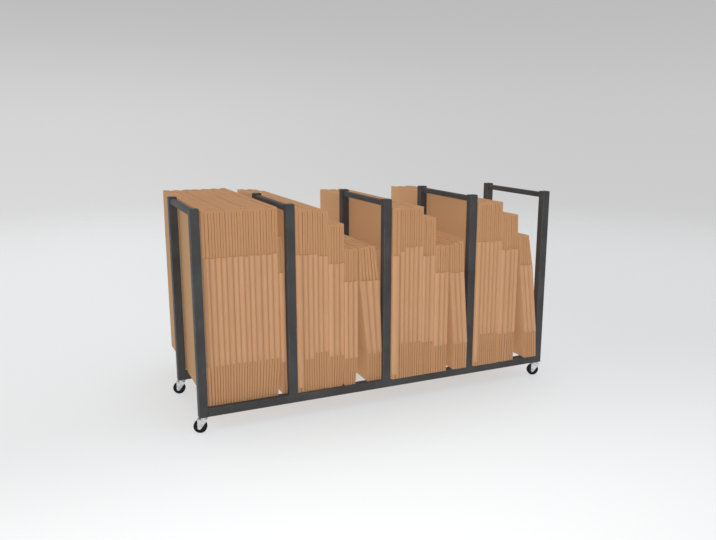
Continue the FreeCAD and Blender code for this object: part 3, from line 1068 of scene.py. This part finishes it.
@dataclass
class Caster:
    """One swivel caster: stem, fork, bearing, axle bolt and wheel.

    The groove's span, the rim's and web's widths and the ribs' height are shares of a half width,
    and the boss's end and rim's start are shares of the way from the bore to the hub's outside.
    """
    corner: str
    spin_steps: int = 72
    tyre_round: float = 4.0 * MM
    shoulder_steps: int = 6
    tread_cuts: int = 9
    tread_facing: float = 0.6
    groove_depth: float = 0.5 * MM
    groove_span: Span = (0.28, 0.42)
    rim_width: float = 0.77
    rim_start: float = 0.77
    web_width: float = 0.32
    boss_end: float = 0.26
    draft: float = 0.6 * MM
    rib_count: int = 6
    rib_width: float = 2.2 * MM
    rib_height: float = 0.86
    rib_overlap: float = 0.5 * MM
    edge_round: float = 0.35 * MM

    def node(self, piece: str) -> str:
        """Name of the node of one of the caster's pieces."""
        return f"caster_{self.corner}_{piece}"

    def wheel_place(self) -> Matrix:
        """Place of the wheel: X rolls forwards, Y is the axle, Z is up.

        Returns:
            The wheel's place in the cart.
        """
        joint = next(one for one in frame["joints"] if one["name"] == f"{self.corner}_roll")
        axle = Vector(joint["axis"]).normalized()
        upright = Vector((0, 0, 1))
        ahead = axle.cross(upright)
        turn = Matrix((ahead, axle, upright)).transposed()
        return Matrix.Translation(Vector(joint["pos_m"])) @ turn.to_4x4()

    def extent(self, piece: str) -> tuple[float, float, float]:
        """Reach of a wheel piece.

        Args:
            piece: Tyre or hub.

        Returns:
            Its inner radius, outer radius and half width, in metres.
        """
        back = self.wheel_place().inverted()
        points = [back @ vert.co for vert in frame["nodes"][self.node(piece)].data.vertices]
        radii = [math.hypot(point.x, point.z) for point in points]
        return min(radii), max(radii), max(abs(point.y) for point in points)

    def spun(self, bm: BMesh) -> BMesh:
        """Spins a section that lies in the plane of the axle into a ring.

        Args:
            bm: Closed outline of the section, used up.

        Returns:
            The ring's mesh.
        """
        bmesh.ops.spin(bm, geom=bm.verts[:] + bm.edges[:], cent=(0, 0, 0), axis=(0, 1, 0), dvec=(0, 0, 0),
                       angle=2 * math.pi, steps=self.spin_steps, use_merge=True, use_duplicate=False)
        bmesh.ops.remove_doubles(bm, verts=bm.verts, dist=MERGE_GAP)
        bmesh.ops.recalc_face_normals(bm, faces=bm.faces)
        bm.normal_update()
        return bm

    def tyre(self) -> BMesh:
        """Solid tyre with rounded shoulders and two shallow grooves in its tread.

        Returns:
            The tyre's mesh, about the origin.
        """
        inner, outer, half = self.extent("tyre")
        bm = bmesh.new()
        middle = Vector(((inner + outer) / 2, 0, 0))
        flat = Matrix.LocRotScale(middle, None, Vector((outer - inner, 2 * half, 1)))
        bmesh.ops.create_grid(bm, x_segments=1, y_segments=1, size=0.5, matrix=flat)
        shoulders = [vert for vert in bm.verts if vert.co.x > middle.x]
        bmesh.ops.bevel(bm, geom=shoulders, offset=self.tyre_round, offset_type="OFFSET",
                        segments=self.shoulder_steps, profile=0.5, affect="VERTICES", material=-1)
        tread = [edge for edge in bm.edges if all(vert.co.x > outer - CLOSE for vert in edge.verts)]
        bmesh.ops.subdivide_edges(bm, edges=tread, cuts=self.tread_cuts)
        near, far = self.groove_span
        for vert in bm.verts:
            if vert.co.x > outer - CLOSE and near < abs(vert.co.y) / half < far:
                vert.co.x -= self.groove_depth
        bmesh.ops.delete(bm, geom=bm.faces[:], context="FACES_ONLY")
        bm = self.spun(bm)
        face_numbers(bm, "tread", lambda face: float(abs(face.normal.y) < self.tread_facing))
        return bm

    def hub(self) -> BMesh:
        """Moulded wheel centre: boss, web, rim and radial ribs.

        Returns:
            The hub's mesh, about the origin.
        """
        bore, outer, half = self.extent("hub")
        rim_half = half * self.rim_width
        web_half = half * self.web_width
        rib_half = Vector((0, rim_half * self.rib_height, self.rib_width / 2))
        boss = bore + (outer - bore) * self.boss_end
        rim = bore + (outer - bore) * self.rim_start
        section = [(bore, half), (boss, half), (boss + self.draft, web_half), (rim - self.draft, web_half),
                   (rim, rim_half), (outer, rim_half)]
        section += [(radius, -y) for radius, y in reversed(section)]
        bm = bmesh.new()
        verts = [bm.verts.new((radius, y, 0)) for radius, y in section]
        for index, vert in enumerate(verts):
            bm.edges.new((vert, verts[(index + 1) % len(verts)]))
        wheel = Heap()
        ring = self.spun(bm)
        round_edges(ring, sharp_edges(ring), self.edge_round, SOFT_STEPS)
        wheel.add(ring)
        for index in range(self.rib_count):
            rib = block(Vector((boss - self.rib_overlap, 0, 0)) - rib_half,
                        Vector((rim + self.rib_overlap, 0, 0)) + rib_half)
            round_edges(rib, edges_along(rib, Axis.LENGTH), self.edge_round, SOFT_STEPS)
            wheel.add(rib, Matrix.Rotation(2 * math.pi * index / self.rib_count, 4, "Y"))
        return wheel.bm

    def build(self, finishes: Finishes) -> None:
        """Builds and dresses the caster.

        Args:
            finishes: Finishes of the cart.
        """
        swivel = f"swivel_{self.corner}"
        wheel = f"wheel_{self.corner}"
        place = self.wheel_place()
        for piece, body in (("stem", "frame"), ("fork", swivel), ("axle", swivel)):
            node = self.node(piece)
            show(f"{node}_plated", softened_node(node, self.edge_round), finishes.zinc, body,
                 [node])
        dress_node(self.node("bearing"), finishes.zinc)
        for piece, mesh, finish, slot in (("tyre", self.tyre(), finishes.tyre, "tyre_rubber"),
                                          ("hub", self.hub(), finishes.hub, "hub_plastic")):
            node = self.node(piece)
            bmesh.ops.transform(mesh, matrix=place, verts=mesh.verts)
            show(f"{node}_moulded", mesh, finish, wheel, [node])


# Cartons

@dataclass(frozen=True)
class CartonPlace:
    """Place and size of one flattened carton, in metres.

    A carton is built upright about its own middle, as thick as over its lower score, and then moved
    onto its real middle line and thickness. Its four levels are its foot, its scores and its top.
    A neighbour stands against each side that is covered, first left and then right. A side that isn't
    covered has the open shade.
    """
    levels: tuple[float, ...]
    middles: tuple[float, ...]
    halves: tuple[float, ...]
    front: float
    rear: float
    setback: float
    ply: tuple[float, float]
    covered: tuple[bool, bool] = (True, True)
    open_shade: float = 0.0

    @classmethod
    def measured(cls, points: Sequence[Vector]) -> "CartonPlace":
        """Reads a carton's sizes.

        Args:
            points: Corners of its solid.

        Returns:
            Its place and size.
        """
        front = min(point.y for point in points)
        rear = max(point.y for point in points)
        heights = [point.z for point in points]
        folds = [point.z for point in points if point.y < front + CLOSE]
        levels = (min(heights), min(folds), max(folds), max(heights))
        middles = []
        halves = []
        for level, reach in zip(levels, (FLAP_REACH, 1.0, 1.0, FLAP_REACH)):
            across = [point.x for point in points if abs(point.z - level) < CLOSE]
            middles.append((min(across) + max(across)) / 2)
            halves.append((max(across) - min(across)) / 2 / reach)
        top = [point for point in points if point.z > levels[-1] - CLOSE]
        sides = [abs(point.x - middles[-1]) * halves[1] / halves[-1] for point in top]
        setback = min(point.y for point in top) - front
        return cls(levels, tuple(middles), tuple(halves), front, rear, setback, (min(sides), max(sides)))

    @property
    def half(self) -> float:
        """Half of the carton's thickness over its lower score."""
        return self.halves[1]

    @property
    def lower_score(self) -> float:
        """Height of the score over the lower flaps."""
        return self.levels[1]

    @property
    def upper_score(self) -> float:
        """Height of the score under the upper flaps."""
        return self.levels[2]

    @property
    def leans(self) -> bool:
        """Whether the carton leans on the one beside it."""
        return abs(self.middles[-1] - self.middles[0]) > self.half

    def bend(self, bm: BMesh) -> None:
        """Moves a mesh that was built upright onto the carton's middle line and thickness.

        Args:
            bm: The mesh.
        """
        for vert in bm.verts:
            middle = float(np.interp(vert.co.z, self.levels, self.middles))
            half = float(np.interp(vert.co.z, self.levels, self.halves))
            vert.co.x = middle + vert.co.x * half / self.half


@dataclass
class CartonStack:
    """A group of like flattened cartons that stand or lean side by side.

    Noses are the rounded folds. Leans of the flaps are shares of the gap between a carton's plies, and
    shades are from 0, fully lit, to 1.
    """
    node: str
    seed: int
    nose_share: float = 0.48
    nose_depth: float = 0.45
    nose_steps: int = 8
    body_rows: int = 9
    tall_edge: float = 20.0 * MM
    dent: float = 1.1 * MM
    dents_per_metre: float = 14.0
    rear_noise: float = 9.0
    score_round: float = 1.6 * MM
    board_round: float = 0.4 * MM
    slot: float = 7.0 * MM
    panel_share: float = 0.56
    root: float = 2.5 * MM
    cut_spread: float = 0.8 * MM
    flap_cuts: int = 2
    waves_per_metre: float = 7.0
    wave_share: float = 0.3
    curl: float = 1.4
    least_lean: float = 0.04
    foot_lean: float = 0.1
    top_lean: float = 0.42
    lit_rim: float = 10.0 * MM
    valley_shade: float = 0.27
    wedge_shade: float = 0.1
    outer_shade: float = 0.33

    def __post_init__(self) -> None:
        """Starts the stack's own row of random numbers."""
        self.chance = random.Random(self.seed)

    def places(self) -> list[CartonPlace]:
        """Reads the cartons of the stack from its solids.

        Returns:
            Their places, left to right.
        """
        mesh = mesh_data("carton_solids", node_copy(self.node))
        mesh.calc_loop_triangles()
        found = []
        for solid in mesh_linked_triangles(mesh):
            corners = [mesh.vertices[index].co for triangle in solid for index in triangle.vertices]
            found.append(CartonPlace.measured(corners))
        bpy.data.meshes.remove(mesh)
        found.sort(key=lambda place: place.middles[0])
        shade = self.wedge_shade if found[0].leans else 0.0
        if self.node == OUTER_STACK:
            shade = self.outer_shade
        found[0] = replace(found[0], covered=(False, True), open_shade=shade)
        found[-1] = replace(found[-1], covered=(found[-1].covered[0], False))
        return found

    def mark(self, bm: BMesh, place: CartonPlace, tone: float, through: tuple[float, float] | None) -> None:
        """Writes the numbers that the board's finish reads.

        Args:
            bm: Mesh of a carton's body or of one flap board.
            place: The carton's place.
            tone: Darkness of its paper, 0 to 1.
            through: Low and high side of a flap board, whose narrow faces are cut edges.
        """
        sheet = bm.loops.layers.uv.new("sheet")
        fold = bm.verts.layers.float.new("fold")
        split = self.split(place)
        nose = self.nose_depth * self.nose_share * 2 * place.half

        def cut_of(face: BMFace) -> Cut:
            """How a face was made."""
            if through is None or abs(face.normal.x) > HALF_FACING:
                return Cut.NONE
            return Cut.ACROSS_FLUTES if abs(face.normal.z) > HALF_FACING else Cut.ALONG_FLUTES

        def shade_of(face: BMFace) -> float:
            """How much light the neighbours keep from a face."""
            middle = face.calc_center_median()
            if not place.covered[middle.x > 0] and (through is None or face.normal.x * middle.x > 0):
                return place.open_shade
            if through is not None:
                in_gap = abs(face.normal.x) > FACING and middle.z < place.levels[-1] - self.lit_rim
                return float(in_gap)
            return self.valley_shade * (1 - math.cos(math.pi * middle.x / place.half)) / 2

        face_numbers(bm, "tone", lambda face: tone)
        face_numbers(bm, "cut", lambda face: cut_of(face).value)
        face_numbers(bm, "shade", shade_of)
        for vert in bm.verts:
            from_fold = min(vert.co.y - place.front, place.rear - vert.co.y)
            vert[fold] = max(0.0, 1 - from_fold / nose) if through is None else 0.0
        for face in bm.faces:
            cut = cut_of(face)
            for loop in face.loops:
                spot = loop.vert.co
                if through is None or cut is Cut.NONE:
                    loop[sheet].uv = (spot.y - split, spot.z - place.lower_score)
                else:
                    run = spot.y if cut is Cut.ACROSS_FLUTES else spot.z
                    loop[sheet].uv = (run, (spot.x - through[0]) / (through[1] - through[0]))

    def split(self, place: CartonPlace) -> float:
        """Depth of the score between a carton's two panels."""
        return place.front + self.panel_share * (place.rear - place.front)

    def folded_body(self, place: CartonPlace, tone: float) -> BMesh:
        """Carton between its scores: two flat panels with rounded, slightly dented folds.

        Args:
            place: The carton's place.
            tone: Darkness of its paper.

        Returns:
            The body's mesh.
        """
        bm = block(Vector((-place.half, place.front, place.lower_score)),
                   Vector((place.half, place.rear, place.upper_score)))
        radius = self.nose_share * 2 * place.half
        nose = self.nose_depth * radius
        round_edges(bm, edges_along(bm, Axis.HEIGHT), radius, self.nose_steps)
        for vert in bm.verts:
            if vert.co.y < place.front + radius + CLOSE:
                vert.co.y = place.front + self.nose_depth * (vert.co.y - place.front)
            elif vert.co.y > place.rear - radius - CLOSE:
                vert.co.y = place.rear - self.nose_depth * (place.rear - vert.co.y)
        round_edges(bm, rim_edges(bm, Axis.HEIGHT), self.score_round, SOFT_STEPS)
        tall = [edge for edge in edges_along(bm, Axis.HEIGHT) if edge.calc_length() > self.tall_edge]
        bmesh.ops.subdivide_edges(bm, edges=tall, cuts=self.body_rows)
        offset = self.chance.uniform(0, NOISE_SPAN)
        for vert in bm.verts:
            to_front = vert.co.y - place.front
            to_rear = place.rear - vert.co.y
            share = 1 - min(to_front, to_rear) / nose
            if share > 0:
                at_front = to_front < to_rear
                row = 0.0 if at_front else self.rear_noise
                sway = noise.noise(Vector((offset, row, vert.co.z * self.dents_per_metre)))
                push = self.dent * share * (1 + sway) / 2
                vert.co.y += push if at_front else -push
        bm.normal_update()
        self.mark(bm, place, tone, None)
        return bm

    def board(self, place: CartonPlace, tone: float, low: Vector, high: Vector, root: float,
              lean: float) -> BMesh:
        """One flap of one ply, bent a little towards the middle of its carton.

        Args:
            place: The carton's place.
            tone: Darkness of its paper.
            low: Lowest corner.
            high: Highest corner.
            root: Height of the score that it hangs on.
            lean: How far its free edge leans across, in metres.

        Returns:
            The flap's mesh.
        """
        bm = block(low, high)
        for axis in (Axis.HEIGHT, Axis.DEPTH):
            bmesh.ops.subdivide_edges(bm, edges=edges_along(bm, axis), cuts=self.flap_cuts,
                                      use_grid_fill=True)
        round_edges(bm, sharp_edges(bm), self.board_round, 1)
        bmesh.ops.bisect_plane(bm, geom=[*bm.verts, *bm.edges, *bm.faces], dist=MERGE_GAP,
                               plane_co=(0, 0, place.levels[-1] - self.lit_rim), plane_no=(0, 0, 1))
        self.mark(bm, place, tone, (low.x, high.x))
        free = max(abs(low.z - root), abs(high.z - root))
        offset = self.chance.uniform(0, NOISE_SPAN)
        for vert in bm.verts:
            share = min(1.0, abs(vert.co.z - root) / free)
            wave = noise.noise(Vector((offset, vert.co.y * self.waves_per_metre, 0)))
            sway = 1 - self.wave_share + self.wave_share * wave
            vert.co.x += lean * sway * share ** self.curl
        bm.normal_update()
        return bm

    def flaps(self, place: CartonPlace, tone: float) -> list[BMesh]:
        """All flap boards of one carton: two plies, each slotted at its panel score.

        Args:
            place: The carton's place.
            tone: Darkness of its paper.

        Returns:
            One mesh for each board.
        """
        split = self.split(place)
        bottom = place.levels[0]
        front, rear = place.front + place.setback, place.rear - place.setback
        panels = [(front, split - self.slot / 2), (split + self.slot / 2, rear)]
        room = 2 * place.ply[0]
        boards = []
        for side in (-1.0, 1.0):
            near, far = sorted(side * reach for reach in place.ply)
            for start, end in panels:
                top = place.levels[-1] - self.chance.uniform(0, self.cut_spread)
                for low, high, root, most in (
                        (bottom, place.lower_score + self.root, place.lower_score, self.foot_lean),
                        (place.upper_score - self.root, top, place.upper_score, self.top_lean)):
                    lean = -side * room * self.chance.uniform(self.least_lean, most)
                    boards.append(self.board(place, tone, Vector((near, start, low)),
                                             Vector((far, end, high)), root, lean))
        return boards

    def build(self, finishes: Finishes) -> None:
        """Builds and dresses the stack.

        Args:
            finishes: Finishes of the cart.
        """
        heap = Heap()
        for place in self.places():
            tone = self.chance.uniform(0, 1)
            for mesh in [self.folded_body(place, tone), *self.flaps(place, tone)]:
                place.bend(mesh)
                heap.add(mesh)
        show(f"{self.node}_boards", heap.bm, finishes.board, self.node, [self.node],
             even=False)


# Studio

@dataclass(frozen=True)
class SoftLight:
    """A large square studio lamp."""
    name: str
    place: tuple[float, float, float]
    aim: tuple[float, float, float]
    side: float
    power: float

    def build(self) -> None:
        """Hangs the lamp."""
        lamp = bpy.data.lights.new(self.name, "AREA")
        lamp.shape = "SQUARE"
        lamp.size = self.side
        lamp.energy = self.power
        made = put(self.name, lamp)
        made.location = self.place
        made.rotation_euler = (Vector(self.aim) - Vector(self.place)).to_track_quat("-Z", "Y").to_euler()


@dataclass(frozen=True)
class FillLight:
    """Even light from one direction that throws no shadow, as from wide reflectors all round."""
    name: str
    toward: tuple[float, float, float]
    strength: float

    def build(self) -> None:
        """Sets up the light."""
        lamp = bpy.data.lights.new(self.name, "SUN")
        lamp.energy = self.strength
        lamp.use_shadow = False
        put(self.name, lamp).rotation_euler = Vector(self.toward).to_track_quat("-Z", "Y").to_euler()


@dataclass(frozen=True)
class Studio:
    """Pale floor, soft lamps, a pale backdrop and the camera at the photograph's angle.

    The backdrop's steps are over the parts of a direction, to the side and up, from -1 to 1.
    """
    floor_radius: float = 12.0
    floor_sides: int = 96
    camera_post: str = "front_post_1"
    camera_left: float = 0.576735
    camera_ahead: float = 2.967494
    camera_height: float = 1.364344
    yaw: float = 24.0615
    pitch: float = 12.0536
    focal_pixels: float = 713.487
    image_width: int = 716
    sensor: float = 36.0
    low_left: Colour = colour(231, 231, 231)
    low_right: Colour = colour(214, 214, 214)
    horizon_left: Colour = colour(213, 213, 213)
    horizon_right: Colour = colour(202, 202, 202)
    high_wall: Colour = colour(188, 188, 188)
    ceiling: Colour = grey(0.6)
    dark_screen: Colour = grey(0.08)
    right_step: Span = (0.0, 0.7)
    horizon_step: Span = (-0.36, 0.02)
    wall_step: Span = (-0.02, 0.17)
    ceiling_step: Span = (0.2, 0.75)
    screen_left_step: Span = (0.25, 0.75)
    screen_up_step: Span = (0.15, 0.4)
    lamps: tuple[SoftLight | FillLight, ...] = (
        SoftLight("overhead_softbox", (-0.4, -0.6, 4.2), (0.0, 0.0, 0.3), 4.0, 12.0),
        FillLight("front_fill", (0.12, 0.95, -0.3), 0.66),
        FillLight("upper_fill", (0.5, 0.1, -0.85), 0.71),
        FillLight("left_fill", (1.0, 0.05, -0.15), 0.66),
        FillLight("rear_fill", (-0.35, -0.93, 0.0), 0.6),
    )

    def camera(self) -> None:
        """Puts the camera where the photograph was taken."""
        low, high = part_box(self.camera_post)
        middle = (low + high) / 2
        data = bpy.data.cameras.new("photo_camera")
        data.sensor_width = self.sensor
        data.lens = self.focal_pixels / self.image_width * self.sensor
        made = put("photo_camera", data)
        made.location = (middle.x - self.camera_left, middle.y - self.camera_ahead, self.camera_height)
        made.rotation_euler = (math.radians(90 - self.pitch), 0, math.radians(-self.yaw))
        bpy.context.scene.camera = made

    def floor(self) -> None:
        """Lays the floor."""
        bm = bmesh.new()
        bmesh.ops.create_circle(bm, cap_ends=True, segments=self.floor_sides, radius=self.floor_radius)
        mesh = mesh_data("studio_floor", bm)
        mesh.materials.append(StudioFloor().make())
        made = put("studio_floor", mesh)

    def backdrop(self) -> None:
        """Lights the room: a pale backdrop that darkens upwards, with a dark screen high on the left."""
        world = bpy.data.worlds.new("studio_backdrop")
        world.use_nodes = True
        kit = NodeKit(world.node_tree)
        across, _, height = kit.parts(kit.node("ShaderNodeTexCoord").outputs["Generated"])
        rightward = across.rise(*self.right_step)
        low = kit.tint(rightward, self.low_left, self.low_right)
        horizon = kit.tint(rightward, self.horizon_left, self.horizon_right)
        screen = (0.0 - across).rise(*self.screen_left_step) * height.rise(*self.screen_up_step)
        glow = kit.layers(low, (height.rise(*self.horizon_step), horizon),
                          (height.rise(*self.wall_step), self.high_wall),
                          (height.rise(*self.ceiling_step), self.ceiling), (screen, self.dark_screen))
        light = kit.node("ShaderNodeBackground", sockets={"Color": glow})
        kit.node("ShaderNodeOutputWorld", sockets={"Surface": light.outputs["Background"]})
        bpy.context.scene.world = world

    def build(self) -> None:
        """Sets up the camera, floor, backdrop and lamps."""
        bpy.context.scene.view_settings.view_transform = "Standard"
        self.camera()
        self.floor()
        self.backdrop()
        for lamp in self.lamps:
            lamp.build()


def main() -> None:
    """Builds the studio, the frame, the casters and the cartons, and logs each piece as it is made."""
    logging.basicConfig(level=logging.INFO, format="%(message)s")
    Studio().build()
    finishes = Finishes()
    TubeFrame().build(finishes)
    for corner in CASTER_CORNERS:
        Caster(corner).build(finishes)
    stacks = [name for name in frame["nodes"] if name.startswith("cartons_")]
    for seed, node in enumerate(sorted(stacks)):
        CartonStack(node, seed).build(finishes)


if __name__ == "__main__":
    main()
